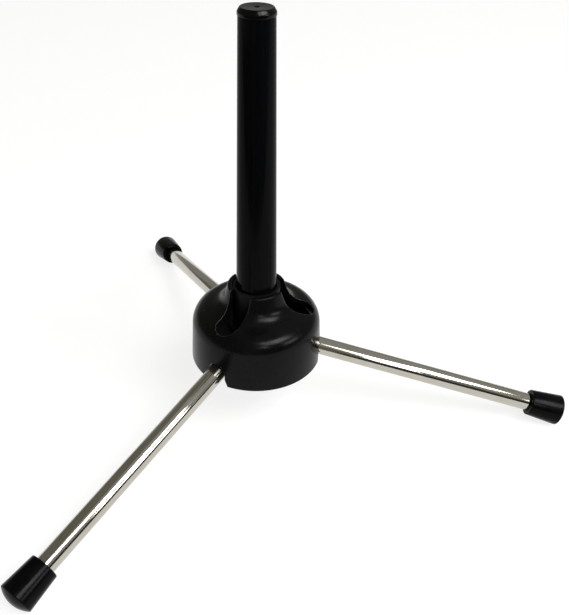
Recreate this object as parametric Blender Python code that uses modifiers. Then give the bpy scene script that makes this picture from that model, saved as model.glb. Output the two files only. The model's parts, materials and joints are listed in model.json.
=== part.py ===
"""Folding tripod stand for a woodwind instrument.

A black dome carries a tapered peg that stands up inside the instrument. Three tubular legs with
rubber feet leave the dome through arches in its rim and fold down about pins in a carrier inside it.
The origin is on the floor, on the peg's axis, and leg 1 points along +X.
"""

import math

import bmesh
import bpy
from mathutils import Matrix

MM = 0.001

# Legs
LEG_COUNT = 3
LEG_SLOPE = math.radians(13.9)
LEG_TUBE_RADIUS = 4.0 * MM
LEG_TUBE_WALL = 0.9 * MM
PIVOT_REACH = 18.0 * MM
FOOT_DISTANCE = 112.6 * MM

# Rubber feet
FOOT_NECK_RADIUS = 5.85 * MM
FOOT_END_RADIUS = 7.0 * MM
FOOT_LENGTH = 14.3 * MM
FOOT_CROWN = 2.2 * MM
FOOT_NECK_ROUNDING = 0.6 * MM
FOOT_BORE_DEPTH = 11.0 * MM
FOOT_FLAT_DEPTH = 0.6 * MM

# Leg eyes and pivot pins
EYE_RADIUS = 4.4 * MM
EYE_WIDTH = 8.0 * MM
EYE_PLUG_LENGTH = 12.0 * MM
TUBE_START = 5.0 * MM
PIN_RADIUS = 1.5 * MM
PIN_PROUD = 0.4 * MM

# Dome
DOME_WALL = 2.0 * MM
RIM_BELOW_PIVOT = 7.8 * MM
RIM_RADIUS = 29.25 * MM
SHOULDER_RADIUS = 28.0 * MM
SHOULDER_HEIGHT = 24.1 * MM
SHOULDER_ROUNDING = 8.6 * MM
NECK_BASE_RADIUS = 15.2 * MM
NECK_BASE_HEIGHT = 26.8 * MM
NECK_BASE_ROUNDING = 10.0 * MM
NECK_RADIUS = 12.5 * MM
DOME_HEIGHT = 36.3 * MM

# Slots in the dome's top and arches in its rim, one of each over every leg
SLOT_WIDTH = 10.0 * MM
SLOT_REACH = 25.5 * MM
SLOT_NECK_WIDTH = 12.2 * MM
SLOT_NECK_REACH = 15.5 * MM
ARCH_SIDE_CLEARANCE = 0.9 * MM
ARCH_HEADROOM = 2.1 * MM
ARCH_FLARE = 1.5 * MM
ARCH_FLARE_HEIGHT = 3.5 * MM

# Peg and its cap
PEG_ROOT_RADIUS = 8.7 * MM
PEG_TIP_RADIUS = 6.9 * MM
PEG_WALL = 1.6 * MM
PEG_EXPOSED_LENGTH = 111.2 * MM
CAP_PROUD = 0.25 * MM
CAP_FLANGE_HEIGHT = 1.2 * MM
CAP_BEVEL_HEIGHT = 2.1 * MM
CAP_BEVEL_WIDTH = 1.3 * MM
CAP_PLUG_LENGTH = 8.0 * MM
CAP_DIMPLE_RADIUS = 1.0 * MM
CAP_DIMPLE_DEPTH = 0.6 * MM

# Carrier
SOCKET_WALL = 1.35 * MM
SOCKET_TOP_BELOW_NECK = 0.4 * MM
BOSS_WALL = 3.4 * MM
BOSS_BELOW_PIVOT = 6.0 * MM
BOSS_COLLAR_HEIGHT = 1.5 * MM
WEB_THICKNESS = 3.0 * MM
FLANGE_THICKNESS = 2.2 * MM
FLANGE_SIDE_CLEARANCE = 0.5 * MM
EAR_THICKNESS = 2.0 * MM
EAR_BELOW_PIVOT = 4.6 * MM
EAR_END_GAP = 1.0 * MM
EAR_ROOT_DEPTH = 1.5 * MM
STOP_LENGTH = 2.2 * MM

# Carrier screws and the posts that take them
SCREW_REACH = 19.2 * MM
SCREW_RADIUS = 1.4 * MM
SCREW_HEAD_RADIUS = 2.7 * MM
SCREW_HEAD_HEIGHT = 1.8 * MM
SCREW_RECESS_RADIUS = 1.1 * MM
SCREW_RECESS_DEPTH = 0.9 * MM
SCREW_LENGTH = 8.0 * MM
POST_RADIUS = 3.2 * MM
PILOT_DEPTH = 6.0 * MM

# Clearances
SEAT_GAP = 0.3 * MM
PIN_CLEARANCE = 0.15 * MM
SWING_GAP = 0.3 * MM

# How finely round shapes are divided
DOME_STEPS = 48
PEG_STEPS = 40
SMALL_STEPS = 24
ARC_STEPS = 5

LEG_SPACING = 2.0 * math.pi / LEG_COUNT
FOOT_END_DISTANCE = FOOT_DISTANCE + FOOT_LENGTH
PIVOT_HEIGHT = (
    FOOT_END_DISTANCE * math.sin(LEG_SLOPE)
    + FOOT_END_RADIUS * math.cos(LEG_SLOPE)
    - FOOT_FLAT_DEPTH
)
EAR_GAP = EYE_WIDTH / 2 + SWING_GAP
EAR_OUTSIDE = EAR_GAP + EAR_THICKNESS
TUBE_BORE_RADIUS = LEG_TUBE_RADIUS - LEG_TUBE_WALL
PLUG_RADIUS = TUBE_BORE_RADIUS - SEAT_GAP
PIN_HOLE_RADIUS = PIN_RADIUS + PIN_CLEARANCE
RIM_HEIGHT = PIVOT_HEIGHT - RIM_BELOW_PIVOT
NECK_TOP = RIM_HEIGHT + DOME_HEIGHT
FLANGE_BOTTOM = PIVOT_HEIGHT + EYE_RADIUS + SWING_GAP
FLANGE_TOP = FLANGE_BOTTOM + FLANGE_THICKNESS
SOCKET_RADIUS = PEG_ROOT_RADIUS + SEAT_GAP
SOCKET_OUTSIDE = SOCKET_RADIUS + SOCKET_WALL
SOCKET_FLOOR = FLANGE_TOP
SOCKET_TOP = NECK_TOP - SOCKET_TOP_BELOW_NECK
NECK_OPENING_RADIUS = SOCKET_OUTSIDE + SEAT_GAP
BOSS_RADIUS = SOCKET_RADIUS + BOSS_WALL
PEG_ROOT = SOCKET_FLOOR + SEAT_GAP
PEG_TIP = NECK_TOP + PEG_EXPOSED_LENGTH
SCREW_HOLE_RADIUS = SCREW_RADIUS + SEAT_GAP
OVERLAP = 1.0 * MM


def clear_scene():
    """Remove every object of the scene."""
    for item in list(bpy.data.objects):
        bpy.data.objects.remove(item, do_unlink=True)


def make_collection(name):
    """Add a collection to the scene."""
    collection = bpy.data.collections.new(name)
    bpy.context.scene.collection.children.link(collection)
    return collection


def make_material(name, colour, roughness, metallic=0.0):
    """Return a Principled material of one colour."""
    material = bpy.data.materials.new(name)
    material.use_nodes = True
    shader = material.node_tree.nodes["Principled BSDF"]
    shader.inputs["Base Color"].default_value = (*colour, 1.0)
    shader.inputs["Roughness"].default_value = roughness
    shader.inputs["Metallic"].default_value = metallic
    return material


def place(name, mesh, collection, parent=None, material=None):
    """Make an object of a mesh, smooth it by angle and hang it on its parent."""
    mesh.shade_smooth()
    mesh.set_sharp_from_angle(angle=math.radians(35.0))
    item = bpy.data.objects.new(name, mesh)
    collection.objects.link(item)
    item.parent = parent
    if material:
        mesh.materials.append(material)
    return item


def room_beside(corners, index, step):
    """Length of the side next to a corner that its arc may use: half where the next is round too."""
    here = corners[index]
    beside = corners[index + step]
    length = math.hypot(beside[0] - here[0], beside[1] - here[1])
    return 0.98 * length * (0.5 if beside[2] else 1.0)


def rounded_path(corners):
    """Turn (radius, height, rounding) corners into points, with an arc at each rounded corner."""
    points = []
    for index, (across, height, rounding) in enumerate(corners):
        if rounding == 0.0:
            points.append((across, height))
            continue
        before = corners[index - 1]
        after = corners[index + 1]
        back = math.atan2(before[1] - height, before[0] - across)
        ahead = math.atan2(after[1] - height, after[0] - across)
        opening = (ahead - back + math.pi) % (2.0 * math.pi) - math.pi
        half = abs(opening) / 2.0
        room = min(room_beside(corners, index, -1), room_beside(corners, index, 1))
        setback = min(rounding / math.tan(half), room)
        radius = setback * math.tan(half)
        middle = back + opening / 2.0
        reach = radius / math.sin(half)
        centre = (across + reach * math.cos(middle), height + reach * math.sin(middle))
        first = (across + setback * math.cos(back), height + setback * math.sin(back))
        last = (across + setback * math.cos(ahead), height + setback * math.sin(ahead))
        start = math.atan2(first[1] - centre[1], first[0] - centre[0])
        end = math.atan2(last[1] - centre[1], last[0] - centre[0])
        turn = (end - start + math.pi) % (2.0 * math.pi) - math.pi
        for step in range(ARC_STEPS + 1):
            angle = start + turn * step / ARC_STEPS
            points.append(
                (centre[0] + radius * math.cos(angle), centre[1] + radius * math.sin(angle))
            )
    return points


def lathe(name, points, steps, collection, parent=None, material=None, closed=False):
    """Turn a profile about the Z axis. The profile runs down its outer side."""
    mesh = bpy.data.meshes.new(name)
    edges = [(index, index + 1) for index in range(len(points) - 1)]
    if closed:
        edges.append((len(points) - 1, 0))
    mesh.from_pydata([(across, 0.0, height) for across, height in points], edges, [])
    item = place(name, mesh, collection, parent, material)
    screw = item.modifiers.new("Turn", "SCREW")
    screw.axis = "Z"
    screw.angle = 2.0 * math.pi
    screw.steps = steps
    screw.render_steps = steps
    screw.use_merge_vertices = True
    screw.merge_threshold = 0.01 * MM
    screw.use_smooth_shade = True
    return item


def cylinder(name, radius, length, steps, collection, parent=None, material=None, turn=None):
    """Make a cylinder on the Z axis, centred on the origin, and turn it if asked."""
    mesh = bpy.data.meshes.new(name)
    form = bmesh.new()
    bmesh.ops.create_cone(
        form, cap_ends=True, segments=steps, radius1=radius, radius2=radius, depth=length,
        matrix=turn or Matrix(),
    )
    form.to_mesh(mesh)
    form.free()
    return place(name, mesh, collection, parent, material)


def block(name, low, high, collection, parent=None, material=None):
    """Make a box between two corners."""
    mesh = bpy.data.meshes.new(name)
    form = bmesh.new()
    size = [high[axis] - low[axis] for axis in range(3)]
    centre = [(high[axis] + low[axis]) / 2 for axis in range(3)]
    bmesh.ops.create_cube(
        form, size=1.0, matrix=Matrix.Translation(centre) @ Matrix.Diagonal((*size, 1.0))
    )
    form.to_mesh(mesh)
    form.free()
    return place(name, mesh, collection, parent, material)


def plate(name, outline, thickness, collection, parent=None):
    """Make a flat plate of an outline in the XY plane, centred on it in Z."""
    curve = bpy.data.curves.new(name, "CURVE")
    curve.dimensions = "2D"
    curve.fill_mode = "BOTH"
    curve.extrude = thickness / 2
    spline = curve.splines.new("POLY")
    spline.points.add(len(outline) - 1)
    for point, (x, y) in zip(spline.points, outline):
        point.co = (x, y, 0.0, 1.0)
    spline.use_cyclic_u = True
    drawn = bpy.data.objects.new(name + "_outline", curve)
    collection.objects.link(drawn)
    graph = bpy.context.evaluated_depsgraph_get()
    mesh = bpy.data.meshes.new_from_object(drawn.evaluated_get(graph))
    mesh.name = name
    bpy.data.objects.remove(drawn, do_unlink=True)
    form = bmesh.new()
    form.from_mesh(mesh)
    bmesh.ops.remove_doubles(form, verts=form.verts, dist=0.01 * MM)
    bmesh.ops.recalc_face_normals(form, faces=form.faces)
    form.to_mesh(mesh)
    form.free()
    return place(name, mesh, collection, parent)


def boolean(target, tool, operation):
    """Join a tool to the target, or cut the target with it."""
    modifier = target.modifiers.new(tool.name, "BOOLEAN")
    modifier.operation = operation
    modifier.object = tool
    modifier.solver = "EXACT"
    tool.hide_render = True
    tool.display_type = "WIRE"


def empty(name, location, rotation, collection, parent=None):
    """Add an empty that carries other objects."""
    item = bpy.data.objects.new(name, None)
    item.empty_display_size = 10.0 * MM
    collection.objects.link(item)
    item.location = location
    item.rotation_euler = rotation
    item.parent = parent
    return item


def azimuth_of(index):
    """Direction of a leg round the peg's axis."""
    return index * LEG_SPACING


def lobe_azimuth_of(index):
    """Direction midway between two legs."""
    return azimuth_of(index) + LEG_SPACING / 2


def skirt_radius_at(height):
    """Outer radius of the dome's drafted skirt at a height above the floor."""
    share = (height - RIM_HEIGHT) / SHOULDER_HEIGHT
    return RIM_RADIUS + (SHOULDER_RADIUS - RIM_RADIUS) * share


def top_height_at(reach):
    """Height of the dome's shallow top, between its shoulder and the foot of its neck."""
    share = (SHOULDER_RADIUS - reach) / (SHOULDER_RADIUS - NECK_BASE_RADIUS)
    return RIM_HEIGHT + SHOULDER_HEIGHT + (NECK_BASE_HEIGHT - SHOULDER_HEIGHT) * share


def leg_height_at(reach):
    """Height of an open leg's axis at a distance from the peg's axis."""
    return PIVOT_HEIGHT - (reach - PIVOT_REACH) * math.tan(LEG_SLOPE)


def make_dome(parts, cutters, material):
    """Turn the dome's shell, add its screw posts, and cut the slots, arches and pilot holes."""
    corners = [
        (NECK_OPENING_RADIUS - DOME_WALL, NECK_TOP, 0.0),
        (NECK_RADIUS, NECK_TOP, 0.0),
        (NECK_BASE_RADIUS, RIM_HEIGHT + NECK_BASE_HEIGHT, NECK_BASE_ROUNDING),
        (SHOULDER_RADIUS, RIM_HEIGHT + SHOULDER_HEIGHT, SHOULDER_ROUNDING),
        (RIM_RADIUS, RIM_HEIGHT, 0.0),
    ]
    dome = lathe("dome_shell", rounded_path(corners), DOME_STEPS, parts, None, material)
    dome.rotation_euler.z = math.pi / DOME_STEPS
    wall = dome.modifiers.new("Wall", "SOLIDIFY")
    wall.thickness = DOME_WALL
    wall.offset = -1.0
    wall.use_even_offset = True

    opening = cylinder(
        "neck_opening", NECK_OPENING_RADIUS, 2 * (DOME_WALL + OVERLAP), DOME_STEPS, cutters
    )
    opening.location = (0, 0, NECK_TOP)
    boolean(dome, opening, "DIFFERENCE")

    post_bottom = FLANGE_TOP + SEAT_GAP
    post_top = top_height_at(SCREW_REACH + POST_RADIUS) - DOME_WALL / 2
    for index in range(LEG_COUNT):
        lobe = empty("lobe_%d" % (index + 1), (0, 0, 0), (0, 0, lobe_azimuth_of(index)), cutters)
        post = cylinder(
            "post_%d" % (index + 1), POST_RADIUS, post_top - post_bottom, SMALL_STEPS, cutters, lobe
        )
        post.location = (SCREW_REACH, 0, (post_top + post_bottom) / 2)
        boolean(dome, post, "UNION")
    for index in range(LEG_COUNT):
        lobe = bpy.data.objects["lobe_%d" % (index + 1)]
        pilot = cylinder(
            "pilot_%d" % (index + 1), SCREW_HOLE_RADIUS, PILOT_DEPTH + OVERLAP, SMALL_STEPS,
            cutters, lobe,
        )
        pilot.location = (SCREW_REACH, 0, post_bottom + (PILOT_DEPTH - OVERLAP) / 2)
        boolean(dome, pilot, "DIFFERENCE")

    slot_bottom = leg_height_at(RIM_RADIUS) + LEG_TUBE_RADIUS + ARCH_HEADROOM + DOME_WALL
    for index in range(LEG_COUNT):
        turned = (0, 0, azimuth_of(index))
        slot = plate(
            "slot_%d" % (index + 1), slot_outline(), NECK_TOP + OVERLAP - slot_bottom, cutters
        )
        slot.location.z = (NECK_TOP + OVERLAP + slot_bottom) / 2
        slot.rotation_euler = turned
        boolean(dome, slot, "DIFFERENCE")
        side = empty("side_%d" % (index + 1), (0, 0, 0), turned, cutters)
        arch = plate(
            "arch_%d" % (index + 1), arch_outline(),
            2 * (DOME_WALL + RIM_RADIUS - SHOULDER_RADIUS + 2 * OVERLAP), cutters, side,
        )
        arch.location = (RIM_RADIUS, 0, 0)
        arch.rotation_euler = (math.pi / 2, 0, math.pi / 2)
        boolean(dome, arch, "DIFFERENCE")
    return dome


def slot_outline():
    """Outline of a top slot: wide at the neck, straight-sided, and round at its outer end."""
    half = SLOT_WIDTH / 2
    neck_half = SLOT_NECK_WIDTH / 2
    points = [(SLOT_NECK_REACH, half), (half, neck_half), (half, -neck_half)]
    points.append((SLOT_NECK_REACH, -half))
    for step in range(2 * ARC_STEPS + 1):
        angle = -math.pi / 2 + math.pi * step / (2 * ARC_STEPS)
        points.append((SLOT_REACH - half + half * math.cos(angle), half * math.sin(angle)))
    return points


def arch_outline():
    """Outline of an arch, seen along its leg: flared at the rim and round at the crown."""
    half = LEG_TUBE_RADIUS + ARCH_SIDE_CLEARANCE
    crown = leg_height_at(RIM_RADIUS) + LEG_TUBE_RADIUS / math.cos(LEG_SLOPE) + ARCH_HEADROOM
    flare_top = RIM_HEIGHT + ARCH_FLARE_HEIGHT
    foot = RIM_HEIGHT - OVERLAP
    spread = half + ARCH_FLARE * (flare_top - foot) / ARCH_FLARE_HEIGHT
    points = [(-spread, foot), (spread, foot), (half, flare_top)]
    for step in range(2 * ARC_STEPS + 1):
        angle = math.pi * step / (2 * ARC_STEPS)
        points.append((half * math.cos(angle), crown - half + half * math.sin(angle)))
    points.append((-half, flare_top))
    return points


def make_carrier(parts, cutters, material):
    """Make the carrier: the peg's socket on a flange, with a channel under it for each leg."""
    boss_bottom = PIVOT_HEIGHT - BOSS_BELOW_PIVOT
    collar_top = FLANGE_TOP + BOSS_COLLAR_HEIGHT
    flange_radius = flange_radius_at_wall()
    profile = [
        (0.0, SOCKET_FLOOR),
        (SOCKET_RADIUS, SOCKET_FLOOR),
        (SOCKET_RADIUS, SOCKET_TOP),
        (SOCKET_OUTSIDE, SOCKET_TOP),
        (SOCKET_OUTSIDE, collar_top),
        (BOSS_RADIUS, collar_top),
        (BOSS_RADIUS, FLANGE_TOP),
        (flange_radius, FLANGE_TOP),
        (flange_radius, FLANGE_BOTTOM),
        (BOSS_RADIUS, FLANGE_BOTTOM),
        (BOSS_RADIUS, boss_bottom),
        (SOCKET_RADIUS, boss_bottom),
        (SOCKET_RADIUS, SOCKET_FLOOR - WEB_THICKNESS),
        (0.0, SOCKET_FLOOR - WEB_THICKNESS),
    ]
    carrier = lathe("leg_carrier", profile, PEG_STEPS, parts, None, material)

    for index in range(LEG_COUNT):
        number = index + 1
        side = bpy.data.objects["side_%d" % number]
        stop_outside = flange_radius - EAR_END_GAP
        stop_inside = stop_outside - STOP_LENGTH
        tube_top = (
            PIVOT_HEIGHT
            - TUBE_START * math.sin(LEG_SLOPE)
            + LEG_TUBE_RADIUS * math.cos(LEG_SLOPE)
        )
        stop = block(
            "stop_%d" % number,
            (stop_inside, -EAR_GAP - EAR_THICKNESS / 2, tube_top + SEAT_GAP),
            (stop_outside, EAR_GAP + EAR_THICKNESS / 2, FLANGE_BOTTOM + FLANGE_THICKNESS / 2),
            cutters, side,
        )
        boolean(carrier, stop, "UNION")
        for hand, shift in (("left", 1), ("right", -1)):
            ear = plate("ear_%d_%s" % (number, hand), ear_outline(), EAR_THICKNESS, cutters, side)
            ear.location = (0, shift * (EAR_GAP + EAR_THICKNESS / 2), PIVOT_HEIGHT)
            ear.rotation_euler = (math.pi / 2, 0, 0)
            boolean(carrier, ear, "UNION")

    for index in range(LEG_COUNT):
        number = index + 1
        pin_hole = cylinder(
            "pin_hole_%d" % number, PIN_HOLE_RADIUS, 2 * EAR_OUTSIDE + 2 * OVERLAP, SMALL_STEPS,
            cutters, bpy.data.objects["side_%d" % number],
        )
        pin_hole.location = (PIVOT_REACH, 0, PIVOT_HEIGHT)
        pin_hole.rotation_euler = (math.pi / 2, 0, 0)
        boolean(carrier, pin_hole, "DIFFERENCE")
        screw_hole = cylinder(
            "screw_hole_%d" % number, SCREW_HOLE_RADIUS, FLANGE_THICKNESS + 2 * OVERLAP,
            SMALL_STEPS, cutters, bpy.data.objects["lobe_%d" % number],
        )
        screw_hole.location = (SCREW_REACH, 0, (FLANGE_TOP + FLANGE_BOTTOM) / 2)
        boolean(carrier, screw_hole, "DIFFERENCE")
    return carrier


def flange_radius_at_wall():
    """Radius of the carrier's flange, which fits inside the dome's wall at its height."""
    return skirt_radius_at(FLANGE_TOP) - DOME_WALL - FLANGE_SIDE_CLEARANCE


def ear_outline():
    """Outline of a channel's cheek from the side, with the pin's height at zero."""
    top = FLANGE_BOTTOM - PIVOT_HEIGHT + FLANGE_THICKNESS / 2
    inside = BOSS_RADIUS - EAR_ROOT_DEPTH
    outside = flange_radius_at_wall() - EAR_END_GAP / 2
    points = [(inside, top), (inside, -EAR_BELOW_PIVOT)]
    for step in range(ARC_STEPS + 1):
        angle = -math.pi / 2 + math.pi / 2 * step / ARC_STEPS
        points.append(
            (outside - EAR_BELOW_PIVOT * (1 - math.cos(angle)), EAR_BELOW_PIVOT * math.sin(angle))
        )
    points.append((outside, top))
    return points


def make_screw(number, parts, cutters, material):
    """Turn a pan-head screw that holds the carrier's arm to the dome's post."""
    head_top = FLANGE_BOTTOM - SEAT_GAP
    head_bottom = head_top - SCREW_HEAD_HEIGHT
    corners = [
        (0.0, head_top + SCREW_LENGTH, 0.0),
        (SCREW_RADIUS, head_top + SCREW_LENGTH, 0.0),
        (SCREW_RADIUS, head_top, 0.0),
        (SCREW_HEAD_RADIUS, head_top, 0.0),
        (SCREW_HEAD_RADIUS, head_bottom, SCREW_HEAD_HEIGHT / 2),
        (SCREW_RECESS_RADIUS, head_bottom, 0.0),
        (SCREW_RECESS_RADIUS, head_bottom + SCREW_RECESS_DEPTH, 0.0),
        (0.0, head_bottom + SCREW_RECESS_DEPTH, 0.0),
    ]
    name = "carrier_screw_%d" % number
    screw = lathe(name, rounded_path(corners), SMALL_STEPS, parts, None, material)
    angle = lobe_azimuth_of(number - 1)
    screw.location = (SCREW_REACH * math.cos(angle), SCREW_REACH * math.sin(angle), 0.0)
    return screw


def make_pin(number, parts, material):
    """Make a pivot pin through both ears and the eye between them."""
    across = Matrix.Rotation(math.pi / 2, 4, "X")
    length = 2 * (EAR_OUTSIDE + PIN_PROUD)
    pin = cylinder(
        "pivot_pin_%d" % number, PIN_RADIUS, length, SMALL_STEPS, parts, None, material, across
    )
    angle = azimuth_of(number - 1)
    pin.location = (PIVOT_REACH * math.cos(angle), PIVOT_REACH * math.sin(angle), PIVOT_HEIGHT)
    pin.rotation_euler = (0, 0, angle)
    return pin


def make_leg(number, parts, cutters, materials, floor):
    """Make one leg on its pivot empty: the eye with its plug, the tube and the rubber foot.

    The empty's X axis runs down the leg and its Y axis is the pivot.
    """
    angle = azimuth_of(number - 1)
    where = (PIVOT_REACH * math.cos(angle), PIVOT_REACH * math.sin(angle), PIVOT_HEIGHT)
    pivot = empty("leg_%d_pivot" % number, where, (0, LEG_SLOPE, angle), parts)
    along = (0, math.pi / 2, 0)

    across = Matrix.Rotation(math.pi / 2, 4, "X")
    eye = cylinder(
        "leg_eye_%d" % number, EYE_RADIUS, EYE_WIDTH, SMALL_STEPS, parts, pivot,
        materials["eye"], across,
    )
    plug_end = TUBE_START + EYE_PLUG_LENGTH
    plug = cylinder("plug_%d" % number, PLUG_RADIUS, plug_end - PIN_RADIUS, SMALL_STEPS, cutters,
                    pivot)
    plug.location = ((plug_end + PIN_RADIUS) / 2, 0, 0)
    plug.rotation_euler = along
    boolean(eye, plug, "UNION")
    bore = cylinder("eye_bore_%d" % number, PIN_HOLE_RADIUS, EYE_WIDTH + 2 * OVERLAP, SMALL_STEPS,
                    cutters, pivot, None, across)
    boolean(eye, bore, "DIFFERENCE")

    tube_end = FOOT_DISTANCE + FOOT_BORE_DEPTH - SEAT_GAP
    ring = [
        (LEG_TUBE_RADIUS, tube_end),
        (LEG_TUBE_RADIUS, TUBE_START),
        (TUBE_BORE_RADIUS, TUBE_START),
        (TUBE_BORE_RADIUS, tube_end),
    ]
    tube = lathe("leg_tube_%d" % number, ring, SMALL_STEPS, parts, pivot, materials["tube"], True)
    tube.rotation_euler = along

    bore_radius = LEG_TUBE_RADIUS + SEAT_GAP
    corners = crown_points() + [
        (FOOT_END_RADIUS, FOOT_LENGTH, 0.0),
        (FOOT_NECK_RADIUS, 0.0, FOOT_NECK_ROUNDING),
        (bore_radius, 0.0, 0.0),
        (bore_radius, FOOT_BORE_DEPTH, 0.0),
        (0.0, FOOT_BORE_DEPTH, 0.0),
    ]
    foot = lathe("foot_%d" % number, rounded_path(corners), SMALL_STEPS, parts, pivot,
                 materials["foot"])
    foot.location = (FOOT_DISTANCE, 0, 0)
    foot.rotation_euler = along
    boolean(foot, floor, "DIFFERENCE")
    return pivot


def crown_points():
    """Sharp profile corners down a foot's domed end, from its axis to just short of its edge."""
    radius = (FOOT_END_RADIUS ** 2 + FOOT_CROWN ** 2) / (2 * FOOT_CROWN)
    spread = math.asin(FOOT_END_RADIUS / radius)
    points = []
    for step in range(ARC_STEPS):
        angle = spread * step / ARC_STEPS
        height = FOOT_LENGTH + FOOT_CROWN - radius * (1 - math.cos(angle))
        points.append((radius * math.sin(angle), height, 0.0))
    return points


def make_peg(parts, materials):
    """Turn the hollow peg and the bevelled cap that plugs its top."""
    inside_root = PEG_ROOT_RADIUS - PEG_WALL
    inside_tip = PEG_TIP_RADIUS - PEG_WALL
    ring = [
        (PEG_TIP_RADIUS, PEG_TIP),
        (PEG_ROOT_RADIUS, NECK_TOP),
        (PEG_ROOT_RADIUS, PEG_ROOT),
        (inside_root, PEG_ROOT),
        (inside_root, NECK_TOP),
        (inside_tip, PEG_TIP),
    ]
    lathe("peg", ring, PEG_STEPS, parts, None, materials["peg"], True)

    flange_radius = PEG_TIP_RADIUS + CAP_PROUD
    flange_bottom = PEG_TIP + SEAT_GAP
    flange_top = flange_bottom + CAP_FLANGE_HEIGHT
    cap_top = flange_top + CAP_BEVEL_HEIGHT
    plug_radius = inside_tip - SEAT_GAP
    corners = [
        (0.0, cap_top - CAP_DIMPLE_DEPTH, 0.0),
        (CAP_DIMPLE_RADIUS, cap_top, 0.0),
        (flange_radius - CAP_BEVEL_WIDTH, cap_top, 0.0),
        (flange_radius, flange_top, CAP_PROUD),
        (flange_radius, flange_bottom, 0.0),
        (plug_radius, flange_bottom, 0.0),
        (plug_radius, flange_bottom - CAP_PLUG_LENGTH, 0.0),
        (0.0, flange_bottom - CAP_PLUG_LENGTH, 0.0),
    ]
    lathe("peg_cap", rounded_path(corners), PEG_STEPS, parts, None, materials["cap"])


def main():
    """Build the stand."""
    clear_scene()
    parts = make_collection("woodwind_stand")
    cutters = make_collection("woodwind_stand_cutters")
    materials = {
        "dome": make_material("satin_black_plastic", (0.012, 0.012, 0.012), 0.35),
        "carrier": make_material("black_nylon", (0.014, 0.014, 0.014), 0.5),
        "screw": make_material("screw_steel", (0.5, 0.5, 0.5), 0.35, 1.0),
        "pin": make_material("pin_steel", (0.55, 0.55, 0.55), 0.3, 1.0),
        "eye": make_material("black_nylon_eye", (0.013, 0.013, 0.013), 0.5),
        "tube": make_material("nickel_plate", (0.78, 0.77, 0.74), 0.12, 1.0),
        "foot": make_material("black_rubber", (0.01, 0.01, 0.01), 0.55),
        "peg": make_material("gloss_black_plastic", (0.01, 0.01, 0.01), 0.2),
        "cap": make_material("cap_black_plastic", (0.01, 0.01, 0.01), 0.22),
    }
    floor_reach = FOOT_END_DISTANCE + PIVOT_REACH + FOOT_LENGTH
    floor = block(
        "floor", (-floor_reach, -floor_reach, -2 * FOOT_END_RADIUS),
        (floor_reach, floor_reach, 0.0), cutters,
    )
    make_dome(parts, cutters, materials["dome"])
    make_carrier(parts, cutters, materials["carrier"])
    for number in range(1, LEG_COUNT + 1):
        make_screw(number, parts, cutters, materials["screw"])
        make_pin(number, parts, materials["pin"])
        make_leg(number, parts, cutters, materials, floor)
    make_peg(parts, materials)


if __name__ == "__main__":
    main()
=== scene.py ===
"""Dresses a folding woodwind stand, its hub, peg, nickel legs and rubber feet, in a studio."""

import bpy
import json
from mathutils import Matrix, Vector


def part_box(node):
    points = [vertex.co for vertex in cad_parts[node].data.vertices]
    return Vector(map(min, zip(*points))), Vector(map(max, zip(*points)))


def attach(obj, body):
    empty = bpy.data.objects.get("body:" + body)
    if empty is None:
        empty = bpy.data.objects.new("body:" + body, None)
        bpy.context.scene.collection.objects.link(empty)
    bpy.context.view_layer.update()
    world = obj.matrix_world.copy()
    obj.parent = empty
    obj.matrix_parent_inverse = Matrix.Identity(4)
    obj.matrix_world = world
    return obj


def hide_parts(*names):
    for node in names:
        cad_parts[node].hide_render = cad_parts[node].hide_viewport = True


bl_info = {
    "name": "Woodwind Stand",
    "version": (1, 0, 0),
    "blender": (4, 5, 0),
    "location": "View3D > Sidebar > Stand",
    "description": "Models and finishes the visible pieces of a folding woodwind stand",
    "category": "Add Mesh",
}

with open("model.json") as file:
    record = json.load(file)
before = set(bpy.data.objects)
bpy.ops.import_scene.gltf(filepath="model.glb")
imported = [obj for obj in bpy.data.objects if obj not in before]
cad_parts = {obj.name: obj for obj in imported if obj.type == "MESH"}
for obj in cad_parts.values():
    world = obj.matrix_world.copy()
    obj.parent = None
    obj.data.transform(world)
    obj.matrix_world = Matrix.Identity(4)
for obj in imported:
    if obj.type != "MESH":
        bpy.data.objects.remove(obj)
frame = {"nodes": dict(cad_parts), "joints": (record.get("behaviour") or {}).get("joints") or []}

import json
import math

import bmesh
import bpy
from bpy.props import FloatProperty, FloatVectorProperty, IntProperty, PointerProperty
from bpy.types import Operator, Panel, PropertyGroup
from mathutils import Vector

MM = 0.001
UPRIGHT = math.pi / 2
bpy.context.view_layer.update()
LEGS = (1, 2, 3)
LEG_SPACING = 2.0 * math.pi / len(LEGS)
PIVOT = next(joint for joint in frame["joints"] if joint["name"] == "leg_1_fold")["pos_m"]
RIM_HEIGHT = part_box("dome_shell")[0].z
NECK_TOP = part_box("dome_shell")[1].z
PEG_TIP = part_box("peg")[1].z
PEG_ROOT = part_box("peg")[0].z

# Room left where one piece fits into another
SEAT_GAP = 0.3 * MM
CAP_SEAM = 0.02 * MM
FOOT_FIT = 0.05 * MM

# Roundings of plain edges
DOME_EDGE = 0.4 * MM
PEG_EDGE = 0.3 * MM
TUBE_EDGE = 0.25 * MM

# The small hole and the dish in the cap's top, with depths taken from its highest edge
CAP_HOLE_RADIUS = 1.1 * MM
CAP_HOLE_FLOOR_RADIUS = 0.55 * MM
CAP_HOLE_FLOOR_DEPTH = 0.7 * MM
CAP_HOLE_CENTRE_DEPTH = 0.75 * MM
CAP_DISH_DEPTH = 0.25 * MM
CAP_EDGE_WIDTH = 0.9 * MM
CAP_EDGE_DEPTH = 0.12 * MM

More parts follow.
